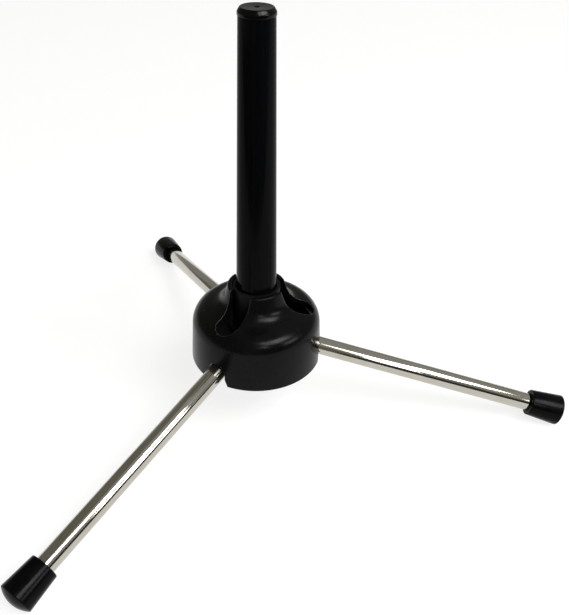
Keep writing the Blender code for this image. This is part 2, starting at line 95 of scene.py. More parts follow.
# How meshes are divided, cut, cleaned and shaded
FOOT_CROWN_STEPS = 12
CUTTER_SIDES = 64
SLOT_CUTTER_HEIGHT = 30 * MM
ARCH_CUTTER_LENGTH = 12 * MM
ARCH_OVERLAP = 1.0 * MM
WELD_DISTANCE = 0.002 * MM
CUT_THRESHOLD = 0.001 * MM
CHOICE_MARGIN = 0.01 * MM
FACING_SHARE = 0.9
SETBACK_SHARE = 0.49
SHARP_DEGREES = 32.0
DOME_SHARP_DEGREES = 30.0

# What is shared by the materials
BEVEL_SAMPLES = 6
STREAK_ROUGHNESS = 0.03
DOME_DUST = (0.06, 0.06, 0.058)
PALE_DUST = (0.05, 0.05, 0.05)
# Pale colour painted along the dome's sharp edges as a painted highlight
PAINTED_EDGE_HIGHLIGHT = (0.16, 0.165, 0.165)
PIT_COLOUR = (0.2, 0.18, 0.15)

# The camera: the width of its sensor in millimetres, and the nearest that it sees in metres
SENSOR_WIDTH = 36.0
NEAREST_SEEN = 0.01

# The studio: a square room of cards round a floor, with sizes in metres
FLOOR_SIZE = 8.0
FLOOR_DROP = 0.02 * MM
ROOM_HALF = 3.7
ROOM_HEIGHT = 2.4
CEILING_SIZE = (ROOM_HALF, 2 * ROOM_HALF)
WALL_SIZE = (2 * ROOM_HALF, ROOM_HEIGHT)
LEVEL_TURN = (0, 0, 0)
WALL_TURN = (UPRIGHT, 0, 0)
SIDE_WALL_TURN = (UPRIGHT, 0, UPRIGHT)
FLAG_BEARING = math.radians(-42.0)
FLAG_DISTANCE = 2.3
FLAG_SIZE = (5.0, 0.7)
CLOTH_SIZE = (4.0, 2.6)
CLOTH_PLACE = (0.4, -1.5, 0.5 * MM)
PAPER = (0.78, 0.78, 0.78)
PALE_PAPER = (0.82, 0.82, 0.82)
SEEN_PAPER = (0.26, 0.26, 0.26)
CARD_GLOWS = {
    "pale_card": (0.42, 0.42, 0.4),
    "grey_card": (0.31, 0.31, 0.29),
    "dim_card": (0.19, 0.187, 0.158),
    "black_card": (0.008, 0.008, 0.008),
}
ROOM_CARDS = (
    ("card_ceiling_left", CEILING_SIZE, (-ROOM_HALF / 2, 0, ROOM_HEIGHT), LEVEL_TURN, "dim_card"),
    ("card_ceiling_right", CEILING_SIZE, (ROOM_HALF / 2, 0, ROOM_HEIGHT), LEVEL_TURN, "pale_card"),
    ("card_back", WALL_SIZE, (0, ROOM_HALF, ROOM_HEIGHT / 2), WALL_TURN, "grey_card"),
    ("card_left", WALL_SIZE, (-ROOM_HALF, 0, ROOM_HEIGHT / 2), SIDE_WALL_TURN, "dim_card"),
    ("card_right", WALL_SIZE, (ROOM_HALF, 0, ROOM_HEIGHT / 2), SIDE_WALL_TURN, "grey_card"),
    ("card_front", WALL_SIZE, (0, -ROOM_HALF, ROOM_HEIGHT / 2), WALL_TURN, "dim_card"),
)

# Each pane of the window: its bearing, rise, width and height as the stand sees them, in degrees
WINDOW_PANES = [
    (name, *(math.radians(value) for value in degrees))
    for name, *degrees in (
        ("window_top_left", -53.0, 56.3, 24.0, 8.2),
        ("window_top_middle", -32.5, 56.3, 14.0, 8.2),
        ("window_top_right", -16.5, 56.3, 15.0, 8.2),
        ("window_upper_left", -53.0, 47.0, 24.0, 8.2),
        ("window_upper_middle", -32.5, 47.0, 14.0, 8.2),
        ("window_upper_right", -16.5, 47.0, 15.0, 8.2),
        ("window_lower_left", -69.0, 31.5, 11.0, 7.0),
        ("window_lower_right", -20.0, 25.0, 24.0, 9.0),
    )
]


def length(label, text, default):
    """A size in metres that shows in the scene's units."""
    return FloatProperty(name=label, description=text, default=default, min=0.0, unit="LENGTH")


def share(label, text, default):
    """A value between nought and one."""
    return FloatProperty(
        name=label, description=text, default=default, min=0.0, max=1.0, subtype="FACTOR"
    )


def colour(label, text, default):
    """A colour of three parts."""
    return FloatVectorProperty(
        name=label, description=text, default=default, size=3, min=0.0, max=1.0, subtype="COLOR"
    )


class StandSizes(PropertyGroup):
    """Sizes of the pieces that are modelled here."""

    rim_radius: length("Rim radius", "Outer radius of the dome at its rim", 29.25 * MM)
    shoulder_radius: length("Shoulder radius", "Outer radius where skirt and top meet", 28.0 * MM)
    shoulder_height: length("Shoulder height", "Height of that corner over the rim", 24.1 * MM)
    shoulder_rounding: length("Shoulder rounding", "Radius of the dome's shoulder", 8.6 * MM)
    neck_base_radius: length("Neck base radius", "Radius where top and neck meet", 15.2 * MM)
    neck_base_height: length("Neck base height", "Height of that corner over the rim", 26.8 * MM)
    neck_base_rounding: length("Neck base rounding", "Radius of the hollow at the neck", 10.0 * MM)
    neck_radius: length("Neck radius", "Outer radius of the neck's top edge", 12.5 * MM)
    neck_opening: length("Neck opening", "Radius of the opening in the neck", 10.65 * MM)
    dome_wall: length("Dome wall", "Wall of the dome", 2.0 * MM)
    slot_width: length("Slot width", "Width of a slot in the dome's top", 10.0 * MM)
    slot_neck_width: length("Slot width at the neck", "Width of a slot by the peg", 12.2 * MM)
    slot_neck_reach: length("Slot neck reach", "Where a slot starts to widen", 15.5 * MM)
    slot_reach: length("Slot reach", "Distance of its round end from the peg's axis", 25.5 * MM)
    arch_half_width: length("Arch half width", "Half the width of an arch over a leg", 4.5 * MM)
    arch_crown: length("Arch crown", "Height of an arch's crown over the rim", 9.75 * MM)
    arch_flare: length("Arch flare", "How far an arch widens at the rim, each side", 1.5 * MM)
    arch_flare_height: length("Arch flare height", "Height over the rim where it starts", 3.5 * MM)
    peg_root_radius: length("Peg root radius", "Radius of the peg at the neck", 8.7 * MM)
    peg_tip_radius: length("Peg tip radius", "Radius of the peg under its cap", 6.9 * MM)
    peg_wall: length("Peg wall", "Wall of the hollow peg", 1.6 * MM)
    cap_seat_rise: length("Cap seat", "Height of the cap's seam over the solid peg's end", 0.7 * MM)
    cap_bevel_height: length("Cap bevel height", "Height of the cap's sloping edge", 1.6 * MM)
    cap_bevel_width: length("Cap bevel width", "Width of the cap's sloping edge", 1.0 * MM)
    tube_radius: length("Leg tube radius", "Outer radius of a leg tube", 4.0 * MM)
    tube_wall: length("Leg tube wall", "Wall of a leg tube", 0.9 * MM)
    tube_start: length("Leg tube start", "Distance of a tube's inner end from its pivot", 5.0 * MM)
    foot_distance: length("Foot distance", "Distance of a foot's neck from its pivot", 112.6 * MM)
    foot_neck_radius: length("Foot neck radius", "Radius of a foot at its neck", 5.85 * MM)
    foot_end_radius: length("Foot end radius", "Radius of a foot at its end", 7.0 * MM)
    foot_length: length("Foot length", "Length of a foot's cone", 14.3 * MM)
    foot_crown: length("Foot crown", "Height of a foot's domed end", 2.2 * MM)
    foot_bore_depth: length("Foot bore", "How deep a tube sits in its foot", 11.0 * MM)
    leg_slope: FloatProperty(
        name="Leg slope", description="How far a leg falls from level",
        default=math.radians(13.9), subtype="ANGLE",
    )
    steps: IntProperty(
        name="Steps", description="Divisions round the dome and peg", default=144, min=24
    )


class StandFinishes(PropertyGroup):
    """Colours and gloss of the pieces."""

    dome_colour: colour("Dome", "Black moulding of the dome", (0.0018, 0.002, 0.002))
    dome_roughness: share("Dome roughness", "Satin gloss of the dome", 0.2)
    peg_colour: colour("Peg", "Gloss black of the peg", (0.0012, 0.0014, 0.0018))
    peg_roughness: share("Peg roughness", "Gloss of the peg", 0.13)
    nylon_colour: colour("Nylon", "Black nylon of the carrier and leg eyes", (0.003, 0.003, 0.003))
    nickel_colour: colour("Nickel", "Nickel plating of the legs", (0.51, 0.495, 0.45))
    nickel_roughness: share("Nickel roughness", "Polish of the plating", 0.06)
    steel_colour: colour("Steel", "Bright steel of pins and screws", (0.56, 0.56, 0.55))
    rubber_colour: colour("Rubber", "Black rubber of the feet", (0.0012, 0.0012, 0.0013))
    rubber_roughness: share("Rubber roughness", "Dull gloss of the rubber", 0.2)


class StudioSettings(PropertyGroup):
    """Light and camera of the studio."""

    window_glow: FloatProperty(
        name="Window", description="Brightness of the window's panes", default=8.7
    )
    window_distance: length("Window distance", "Distance of the window from the stand", 2.0)
    sky_level: FloatProperty(name="Fill", description="Even light from all round", default=0.25)
    floor_lift: FloatProperty(
        name="Floor lift", description="How far the seen floor is lifted", default=0.8
    )
    backdrop: colour("Backdrop", "Background that the camera sees", (1.0, 1.0, 1.0))
    lens: FloatProperty(name="Lens", description="Focal length of the camera", default=44.436)
    camera_place: FloatVectorProperty(
        name="Camera place", description="Where the camera stands",
        default=(0.03276, -0.27341, 0.24569), subtype="TRANSLATION",
    )
    camera_turn: FloatVectorProperty(
        name="Camera turn", description="How the camera is turned",
        default=(math.radians(54.95064), math.radians(-1.29387), math.radians(5.15324)),
        subtype="EULER",
    )


# Modelling by hand

def only(item):
    """Select one object and make it the active one."""
    bpy.ops.object.select_all(action="DESELECT")
    item.select_set(True)
    bpy.context.view_layer.objects.active = item


def started(name):
    """Name the primitive that was just added and put its place in its mesh."""
    item = bpy.context.object
    item.name = name
    item.data.name = name
    only(item)
    bpy.ops.object.transform_apply(location=True, rotation=True, scale=True)
    return item


def choose(item, kind, test):
    """Select the points, edges or faces of the mesh in edit mode that pass a test."""
    mesh = bmesh.from_edit_mesh(item.data)
    mesh.select_mode = {kind}
    for group in (mesh.verts, mesh.edges, mesh.faces):
        for element in group:
            element.select = False
    for element in {"VERT": mesh.verts, "EDGE": mesh.edges, "FACE": mesh.faces}[kind]:
        if test(element):
            element.select_set(True)
    mesh.select_flush_mode()
    bmesh.update_edit_mesh(item.data)


def tidy_mesh(item):
    """Merge doubles and turn every face outwards."""
    only(item)
    bpy.ops.object.mode_set(mode="EDIT")
    bpy.ops.mesh.select_all(action="SELECT")
    bpy.ops.mesh.remove_doubles(threshold=WELD_DISTANCE)
    bpy.ops.mesh.normals_make_consistent(inside=False)
    bpy.ops.object.mode_set(mode="OBJECT")


def smooth(item, degrees=SHARP_DEGREES):
    """Shade smooth but for edges sharper than an angle."""
    only(item)
    bpy.ops.object.shade_smooth_by_angle(angle=math.radians(degrees))


def turned(name, points, steps):
    """Draw a profile by extruding one point along it, and spin it about the Z axis."""
    bpy.ops.object.select_all(action="DESELECT")
    bpy.ops.mesh.primitive_plane_add(size=MM)
    item = started(name)
    bpy.ops.object.mode_set(mode="EDIT")
    bpy.ops.mesh.select_mode(type="VERT")
    bpy.ops.mesh.select_all(action="SELECT")
    bpy.ops.mesh.merge(type="CENTER")
    bpy.ops.transform.translate(value=(points[0][0], 0.0, points[0][1]))
    for before, after in zip(points, points[1:]):
        step = (after[0] - before[0], 0.0, after[1] - before[1])
        bpy.ops.mesh.extrude_vertices_move(TRANSFORM_OT_translate={"value": step})
    bpy.ops.mesh.select_all(action="SELECT")
    bpy.ops.mesh.spin(
        steps=steps, angle=2.0 * math.pi, use_auto_merge=True, center=(0, 0, 0), axis=(0, 0, 1)
    )
    bpy.ops.object.mode_set(mode="OBJECT")
    tidy_mesh(item)
    return item


def put(item, place, turn):
    """Move and turn a finished piece, and keep that in its mesh."""
    only(item)
    item.location = place
    item.rotation_euler = turn
    bpy.ops.object.transform_apply(location=True, rotation=True, scale=True)


def carve(item, tool):
    """Cut a piece with another mesh, and remove that mesh."""
    only(item)
    bpy.ops.object.modifier_add(type="BOOLEAN")
    modifier = item.modifiers[-1]
    modifier.operation = "DIFFERENCE"
    modifier.object = tool
    bpy.ops.object.modifier_apply(modifier=modifier.name)
    bpy.data.objects.remove(tool, do_unlink=True)


def meeting(first, second):
    """Where two lines cross, each given as a point and a direction."""
    (ax, ay), (bx, by) = first
    (cx, cy), (dx, dy) = second
    along = ((cx - ax) * dy - (cy - ay) * dx) / (bx * dy - by * dx)
    return (ax + bx * along, ay + by * along)


def inner_line(start, end, wall):
    """The line a wall's thickness inside the one from start to end, down the outside."""
    across, down = end[0] - start[0], end[1] - start[1]
    size = math.hypot(across, down)
    return ((start[0] + wall * down / size, start[1] - wall * across / size), (across, down))


def rounded(corners, arc_steps, closed=False):
    """Points along (radius, height, rounding) corners, with an arc at each rounded one."""
    points = []
    for index, (across, height, rounding) in enumerate(corners):
        if rounding == 0.0:
            points.append((across, height))
            continue
        here = Vector((across, height))
        before = Vector(corners[index - 1][:2]) - here
        after = Vector(corners[(index + 1) % len(corners)][:2]) - here
        half = before.angle(after) / 2.0
        longest = (SETBACK_SHARE * before.length, SETBACK_SHARE * after.length)
        setback = min(rounding / math.tan(half), *longest)
        radius = setback * math.tan(half)
        first = here + before.normalized() * setback
        last = here + after.normalized() * setback
        middle = (before.normalized() + after.normalized()).normalized()
        centre = here + middle * radius / math.sin(half)
        start = math.atan2(first.y - centre.y, first.x - centre.x)
        end = math.atan2(last.y - centre.y, last.x - centre.x)
        turn = (end - start + math.pi) % (2.0 * math.pi) - math.pi
        for step in range(arc_steps + 1):
            angle = start + turn * step / arc_steps
            points.append((
                centre.x + radius * math.cos(angle), centre.y + radius * math.sin(angle)
            ))
    if closed:
        points.append(points[0])
    return points


def leg_bearing(number):
    """The angle about the peg's axis at which a leg runs out."""
    return (number - 1) * LEG_SPACING


def leg_turn(sizes, number):
    """How a piece that is made along Z is turned to lie along its leg."""
    return (0.0, UPRIGHT + sizes.leg_slope, leg_bearing(number))


def leg_place(sizes, number, distance):
    """The point at a distance from a leg's pivot along its leg."""
    angle = leg_bearing(number)
    reach = PIVOT[0] + distance * math.cos(sizes.leg_slope)
    height = PIVOT[2] - distance * math.sin(sizes.leg_slope)
    return Vector((reach * math.cos(angle), reach * math.sin(angle), height))


def one_for_each_leg(scene, first, stem):
    """The first leg's piece and a copy of it for each other leg, with the legs' numbers."""
    pieces = [first]
    for number in LEGS[1:]:
        copy = first.copy()
        copy.data = first.data.copy()
        copy.name = "%s_%d" % (stem, number)
        scene.collection.objects.link(copy)
        pieces.append(copy)
    return list(zip(LEGS, pieces))


def dress(item, body, slot, material, *nodes):
    """Finish a piece: its material, the body that carries it and the nodes that it replaces."""
    item.data.materials.clear()
    item.data.materials.append(material)
    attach(item, body)
    if nodes:
        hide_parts(*nodes)


# Materials

def finish_base(name, metallic=0.0, specular=0.5):
    """A new material with its node tree and its shader."""
    material = bpy.data.materials.new(name)
    material.use_nodes = True
    tree = material.node_tree
    shader = tree.nodes["Principled BSDF"]
    shader.inputs["Metallic"].default_value = metallic
    shader.inputs["Specular IOR Level"].default_value = specular
    return material, tree, shader


def add_node(tree, kind, values=None, **settings):
    """Add a node with its settings and the values of its inputs."""
    node = tree.nodes.new(kind)
    for name, value in settings.items():
        setattr(node, name, value)
    for name, value in (values or {}).items():
        node.inputs[name].default_value = value
    return node


def object_space(tree, scale=(1.0, 1.0, 1.0), place=(0.0, 0.0, 0.0), turn=(0.0, 0.0, 0.0)):
    """Object coordinates, brought to a place and turn, and then stretched."""
    source = add_node(tree, "ShaderNodeTexCoord")
    brought = add_node(
        tree, "ShaderNodeMapping", {"Location": place, "Rotation": turn}, vector_type="TEXTURE"
    )
    stretched = add_node(tree, "ShaderNodeMapping", {"Scale": scale}, vector_type="POINT")
    tree.links.new(source.outputs["Object"], brought.inputs["Vector"])
    tree.links.new(brought.outputs["Vector"], stretched.inputs["Vector"])
    return stretched.outputs["Vector"]


def mottle(tree, space, scale=1.0, detail=4.0, roughness=0.55):
    """An even noise between nought and one."""
    noise = add_node(
        tree, "ShaderNodeTexNoise", {"Scale": scale, "Detail": detail, "Roughness": roughness}
    )
    tree.links.new(space, noise.inputs["Vector"])
    return noise.outputs["Fac"]


def spread(tree, source, low=0.0, high=1.0, from_low=0.3, from_high=0.7):
    """Bring a noise to a range of values."""
    span = add_node(
        tree, "ShaderNodeMapRange",
        {"From Min": from_low, "From Max": from_high, "To Min": low, "To Max": high},
    )
    tree.links.new(source, span.inputs["Value"])
    return span.outputs["Result"]


def combined(tree, first, second, operation="ADD"):
    """Add or multiply two values, and keep the result between nought and one."""
    node = add_node(tree, "ShaderNodeMath", operation=operation, use_clamp=True)
    tree.links.new(first, node.inputs[0])
    tree.links.new(second, node.inputs[1])
    return node.outputs["Value"]


def blended(tree, factor, first, second):
    """Mix two plain colours by a factor."""
    mix = add_node(tree, "ShaderNodeMix", data_type="RGBA")
    mix.inputs["A"].default_value = (*first, 1.0)
    mix.inputs["B"].default_value = (*second, 1.0)
    tree.links.new(factor, mix.inputs["Factor"])
    return mix.outputs["Result"]


def laid_over(tree, under, factor, over):
    """Lay a plain colour over what is under it, as much as a factor says."""
    mix = add_node(tree, "ShaderNodeMix", data_type="RGBA")
    mix.inputs["B"].default_value = (*over, 1.0)
    tree.links.new(under, mix.inputs["A"])
    tree.links.new(factor, mix.inputs["Factor"])
    return mix.outputs["Result"]


def lighter(base, amount):
    """A colour with some grey dust added."""
    return tuple(part + amount for part in base)


def specks(tree, space, scale, size):
    """Sparse round specks of dust: one where they are and nought between."""
    cells = add_node(tree, "ShaderNodeTexVoronoi", {"Scale": scale, "Randomness": 1.0})
    tree.links.new(space, cells.inputs["Vector"])
    near = spread(tree, cells.outputs["Distance"], 1.0, 0.0, size * 0.6, size)
    rare = mottle(tree, space, scale * 0.4, 1.0)
    return combined(tree, near, spread(tree, rare, from_low=0.56, from_high=0.62), "MULTIPLY")


def sharp_edges(tree, width):
    """One along sharp edges and nought on smooth faces, for a painted highlight along the edges."""
    soft = add_node(tree, "ShaderNodeBevel", {"Radius": width}, samples=BEVEL_SAMPLES)
    true = add_node(tree, "ShaderNodeNewGeometry")
    turn = add_node(tree, "ShaderNodeVectorMath", operation="DOT_PRODUCT")
    tree.links.new(soft.outputs["Normal"], turn.inputs[0])
    tree.links.new(true.outputs["Normal"], turn.inputs[1])
    return spread(tree, turn.outputs["Value"], 1.0, 0.0, 0.86, 0.97)


def vary_roughness(tree, shader, marks, low, high, streaks=None):
    """Let the roughness follow the marks from low to high, and rise a little in the streaks."""
    level = spread(tree, marks, low, high)
    if streaks is not None:
        level = combined(tree, level, spread(tree, streaks, 0.0, STREAK_ROUGHNESS))
    tree.links.new(level, shader.inputs["Roughness"])


def relief(tree, shader, layers, edge):
    """Round the edges to the eye and lay bumps over that: each layer is (height, distance)."""
    soft = add_node(tree, "ShaderNodeBevel", {"Radius": edge}, samples=BEVEL_SAMPLES)
    normal = soft.outputs["Normal"]
    for height, distance in layers:
        bump = add_node(tree, "ShaderNodeBump", {"Strength": 1.0, "Distance": distance})
        tree.links.new(height, bump.inputs["Height"])
        tree.links.new(normal, bump.inputs["Normal"])
        normal = bump.outputs["Normal"]
    tree.links.new(normal, shader.inputs["Normal"])


def satin_moulding(finishes):
    """The dome: satin black plastic, finely grained, with marks, a little dust and painted
    highlights on its edges.
    """
    material, tree, shader = finish_base("satin_black_moulding", specular=0.09)
    space = object_space(tree)
    marks = mottle(tree, space, scale=70.0, detail=5.0)
    grain = mottle(tree, space, scale=2600.0, detail=2.0)
    flow = mottle(tree, object_space(tree, (160.0, 160.0, 45.0)), detail=3.0)
    dust = specks(tree, space, scale=150.0, size=0.045)
    base = tuple(finishes.dome_colour)
    clean = blended(tree, spread(tree, marks), base, lighter(base, 0.0025))
    dusty = laid_over(tree, clean, dust, DOME_DUST)
    # Painted highlight: the sharp edges, patchy by the marks, are laid over with a pale colour
    edges = sharp_edges(tree, width=0.35 * MM)
    edge_highlight_mask = combined(tree, edges, spread(tree, marks, low=0.25), "MULTIPLY")
    edge_highlighted = laid_over(tree, dusty, edge_highlight_mask, PAINTED_EDGE_HIGHLIGHT)
    tree.links.new(edge_highlighted, shader.inputs["Base Color"])
    level = finishes.dome_roughness
    vary_roughness(tree, shader, marks, level - 0.04, level + 0.05, flow)
    relief(tree, shader, [(flow, 0.006 * MM), (grain, 0.004 * MM)], edge=0.7 * MM)
    return material


def gloss_moulding(finishes, name, specular):
    """The peg and its cap: glossy black plastic with faint lengthwise drawing marks."""
    material, tree, shader = finish_base(name, specular=specular)
    space = object_space(tree)
    marks = mottle(tree, space, scale=55.0, detail=5.0)
    draw = mottle(tree, object_space(tree, (900.0, 900.0, 14.0)), detail=3.0)
    dust = specks(tree, space, scale=110.0, size=0.04)
    base = tuple(finishes.peg_colour)
    clean = blended(tree, spread(tree, draw), base, lighter(base, 0.0012))
    tree.links.new(laid_over(tree, clean, dust, PALE_DUST), shader.inputs["Base Color"])
    level = finishes.peg_roughness
    vary_roughness(tree, shader, marks, level - 0.04, level + 0.05, draw)
    relief(tree, shader, [(draw, 0.002 * MM), (marks, 0.02 * MM)], edge=0.25 * MM)
    return material


def black_nylon(finishes):
    """The carrier and the leg eyes: dull black nylon with a sparked grain."""
    material, tree, shader = finish_base("black_nylon", specular=0.15)
    space = object_space(tree)
    marks = mottle(tree, space, scale=120.0)
    grain = mottle(tree, space, scale=1800.0, detail=3.0)
    base = tuple(finishes.nylon_colour)
    clouded = blended(tree, spread(tree, marks), base, lighter(base, 0.003))
    tree.links.new(clouded, shader.inputs["Base Color"])
    vary_roughness(tree, shader, marks, 0.42, 0.58)
    relief(tree, shader, [(grain, 0.01 * MM)], edge=0.25 * MM)
    return material


def nickel_plate(finishes, sizes, number):
    """A leg's plating: bright nickel, drawn lengthwise, slightly clouded, with a few pits."""
    material, tree, shader = finish_base("nickel_plate_%d" % number, metallic=1.0)
    place = leg_place(sizes, number, 0.0)
    turn = (0.0, sizes.leg_slope, leg_bearing(number))
    along = object_space(tree, (9.0, 1900.0, 1900.0), place, turn)
    space = object_space(tree, place=place, turn=turn)
    draw = mottle(tree, along, roughness=0.65)
    cloud = mottle(tree, space, scale=130.0)
    pits = specks(tree, space, scale=420.0, size=0.09)
    base = tuple(finishes.nickel_colour)
    warm = (base[0] * 0.93, base[1] * 0.9, base[2] * 0.84)
    plate = blended(tree, spread(tree, cloud), base, warm)
    tree.links.new(laid_over(tree, plate, pits, PIT_COLOUR), shader.inputs["Base Color"])
    level = finishes.nickel_roughness
    vary_roughness(tree, shader, cloud, level - 0.02, level + 0.03, draw)
    relief(tree, shader, [(draw, 0.005 * MM), (cloud, 0.001 * MM)], edge=0.2 * MM)
    return material


def bright_steel(finishes, name, rings):
    """Pins and screws: bright steel with turning marks."""
    material, tree, shader = finish_base(name, metallic=1.0)
    space = object_space(tree)
    marks = mottle(tree, space, scale=500.0)
    lathe = mottle(tree, object_space(tree, rings), detail=2.0)
    base = tuple(finishes.steel_colour)
    dull = tuple(part * 0.8 for part in base)
    tree.links.new(blended(tree, spread(tree, marks), base, dull), shader.inputs["Base Color"])
    vary_roughness(tree, shader, marks, 0.22, 0.38)
    relief(tree, shader, [(lathe, 0.003 * MM)], edge=0.15 * MM)
    return material


def black_rubber(finishes):
    """The feet: black rubber, dull, finely grained and a little scuffed."""
    material, tree, shader = finish_base("black_rubber", specular=0.055)
    space = object_space(tree)
    scuffs = mottle(tree, space, scale=190.0, detail=5.0, roughness=0.65)
    grain = mottle(tree, space, scale=2200.0, detail=3.0)
    dust = specks(tree, space, scale=260.0, size=0.07)
    base = tuple(finishes.rubber_colour)
    clean = blended(tree, spread(tree, scuffs), base, lighter(base, 0.002))
    tree.links.new(laid_over(tree, clean, dust, PALE_DUST), shader.inputs["Base Color"])
    level = finishes.rubber_roughness
    vary_roughness(tree, shader, scuffs, level - 0.05, level + 0.08)
    relief(tree, shader, [(scuffs, 0.012 * MM), (grain, 0.006 * MM)], edge=0.25 * MM)
    return material


# Pieces

def dome_corners(sizes):
    """The dome's section: down the outside from the neck, and back up the inside of its wall."""
    wall = sizes.dome_wall
    outer = [
        (sizes.neck_radius, NECK_TOP),
        (sizes.neck_base_radius, RIM_HEIGHT + sizes.neck_base_height),
        (sizes.shoulder_radius, RIM_HEIGHT + sizes.shoulder_height),
        (sizes.rim_radius, RIM_HEIGHT),
    ]
    lines = [inner_line(start, end, wall) for start, end in zip(outer, outer[1:])]
    under_top = ((0.0, NECK_TOP - wall), (1.0, 0.0))
    floor_line = ((0.0, RIM_HEIGHT), (1.0, 0.0))
    inner = [
        meeting(lines[0], under_top),
        meeting(lines[0], lines[1]),
        meeting(lines[1], lines[2]),
        meeting(lines[2], floor_line),
    ]
    return [
        (*outer[0], 2 * DOME_EDGE),
        (*outer[1], sizes.neck_base_rounding),
        (*outer[2], sizes.shoulder_rounding),
        (*outer[3], DOME_EDGE),
        (*inner[3], DOME_EDGE),
        (*inner[2], sizes.shoulder_rounding - wall),
        (*inner[1], sizes.neck_base_rounding + wall),
        (*inner[0], 0.0),
        (sizes.neck_opening, NECK_TOP - wall, 0.0),
        (sizes.neck_opening, NECK_TOP, DOME_EDGE / 2),
    ]


def swung(tool, number):
    """Finish a cutter that is in edit mode, and swing it round to its leg."""
    bpy.ops.object.mode_set(mode="OBJECT")
    tidy_mesh(tool)
    put(tool, (0, 0, 0), (0, 0, leg_bearing(number)))
    return tool


def slot_tool(sizes, number):
    """A cutter for a slot: a round-ended bar that widens towards the peg."""
    half = sizes.slot_width / 2
    round_end = sizes.slot_reach - half
    inner_end = half
    wider = sizes.slot_neck_width / sizes.slot_width
    bpy.ops.object.select_all(action="DESELECT")
    bpy.ops.mesh.primitive_cylinder_add(
        vertices=CUTTER_SIDES, radius=half, depth=SLOT_CUTTER_HEIGHT,
        location=(round_end, 0, NECK_TOP),
    )
    tool = started("slot_tool_%d" % number)
    bpy.ops.object.mode_set(mode="EDIT")
    choose(tool, "VERT", lambda vert: vert.co.x < round_end - CHOICE_MARGIN)
    bpy.ops.transform.resize(value=(0, 1, 1), center_override=(sizes.slot_neck_reach, 0, 0))
    choose(tool, "FACE", lambda face: face.normal.x < -FACING_SHARE)
    bpy.ops.mesh.extrude_region_move(
        TRANSFORM_OT_translate={"value": (inner_end - sizes.slot_neck_reach, 0, 0)}
    )
    bpy.ops.transform.resize(value=(1, wider, 1), center_override=(inner_end, 0, 0))
    return swung(tool, number)


def arch_tool(sizes, number):
    """A cutter for an arch: a bar along the leg with a round crown and a foot that flares."""
    half = sizes.arch_half_width
    centre = RIM_HEIGHT + sizes.arch_crown - half
    flare_top = RIM_HEIGHT + sizes.arch_flare_height
    drop = sizes.arch_flare_height + ARCH_OVERLAP
    wider = (half + sizes.arch_flare * drop / sizes.arch_flare_height) / half
    bpy.ops.object.select_all(action="DESELECT")
    bpy.ops.mesh.primitive_cylinder_add(
        vertices=CUTTER_SIDES, radius=half, depth=ARCH_CUTTER_LENGTH,
        location=(sizes.rim_radius, 0, centre), rotation=(0, UPRIGHT, 0),
    )
    tool = started("arch_tool_%d" % number)
    bpy.ops.object.mode_set(mode="EDIT")
    choose(tool, "VERT", lambda vert: vert.co.z < centre - CHOICE_MARGIN)
    bpy.ops.transform.resize(value=(1, 1, 0), center_override=(0, 0, flare_top))
    choose(tool, "FACE", lambda face: face.normal.z < -FACING_SHARE)
    bpy.ops.mesh.extrude_region_move(TRANSFORM_OT_translate={"value": (0, 0, -drop)})
    bpy.ops.transform.resize(value=(1, wider, 1), center_override=(0, 0, flare_top - drop))
    return swung(tool, number)


def peg_corners(sizes, peg_top):
    """The hollow peg's section: down the outside from its tip, and back up its bore."""
    bore_root = sizes.peg_root_radius - sizes.peg_wall
    bore_tip = sizes.peg_tip_radius - sizes.peg_wall
    return [
        (sizes.peg_tip_radius, peg_top, PEG_EDGE / 2),
        (sizes.peg_root_radius, NECK_TOP, 0.0),
        (sizes.peg_root_radius, PEG_ROOT, PEG_EDGE),
        (bore_root, PEG_ROOT, 0.0),
        (bore_root, NECK_TOP, 0.0),
        (bore_tip, peg_top, PEG_EDGE / 2),
    ]


def cap_corners(sizes, peg_top):
    """The cap's section: a dished top with a hole, a sloping edge, a seat and a plug."""
    low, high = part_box("peg_cap")
    outside = high.x
    bevel_top = outside - sizes.cap_bevel_width
    seat = peg_top + CAP_SEAM
    plug = sizes.peg_tip_radius - sizes.peg_wall - SEAT_GAP
    return [
        (0.0, high.z - CAP_HOLE_CENTRE_DEPTH, 0.0),
        (CAP_HOLE_FLOOR_RADIUS, high.z - CAP_HOLE_FLOOR_DEPTH, 0.0),
        (CAP_HOLE_RADIUS, high.z - CAP_DISH_DEPTH, 0.2 * MM),
        (bevel_top - CAP_EDGE_WIDTH, high.z - CAP_EDGE_DEPTH, 0.6 * MM),
        (bevel_top, high.z, 0.9 * MM),
        (outside, high.z - sizes.cap_bevel_height, 1.2 * MM),
        (outside, seat, 0.2 * MM),
        (plug, seat, 0.0),
        (plug, low.z, 0.3 * MM),
        (0.0, low.z, 0.0),
    ]


def tube_corners(sizes):
    """A leg tube's section: along the outside from its foot's end, and back along its bore."""
    bore = sizes.tube_radius - sizes.tube_wall
    end = sizes.foot_distance + sizes.foot_bore_depth - SEAT_GAP
    return [
        (sizes.tube_radius, end, TUBE_EDGE),
        (sizes.tube_radius, sizes.tube_start, TUBE_EDGE),
        (bore, sizes.tube_start, TUBE_EDGE),
        (bore, end, TUBE_EDGE),
    ]


def foot_corners(sizes):
    """A foot's section: its domed end, its cone back to the neck, and its bore."""
    bore = sizes.tube_radius + FOOT_FIT
    radius = (sizes.foot_end_radius ** 2 + sizes.foot_crown ** 2) / (2 * sizes.foot_crown)
    edge_angle = math.asin(sizes.foot_end_radius / radius)
    corners = []
    for step in range(FOOT_CROWN_STEPS):
        angle = edge_angle * step / FOOT_CROWN_STEPS
        top = sizes.foot_length + sizes.foot_crown - radius * (1 - math.cos(angle))
        corners.append((radius * math.sin(angle), top, 0.0))
    return corners + [
        (sizes.foot_end_radius, sizes.foot_length, 0.4 * MM),
        (sizes.foot_neck_radius, 0.0, 0.3 * MM),
        (bore, 0.0, 0.2 * MM),
        (bore, sizes.foot_bore_depth, 0.0),
        (0.0, sizes.foot_bore_depth, 0.0),
    ]


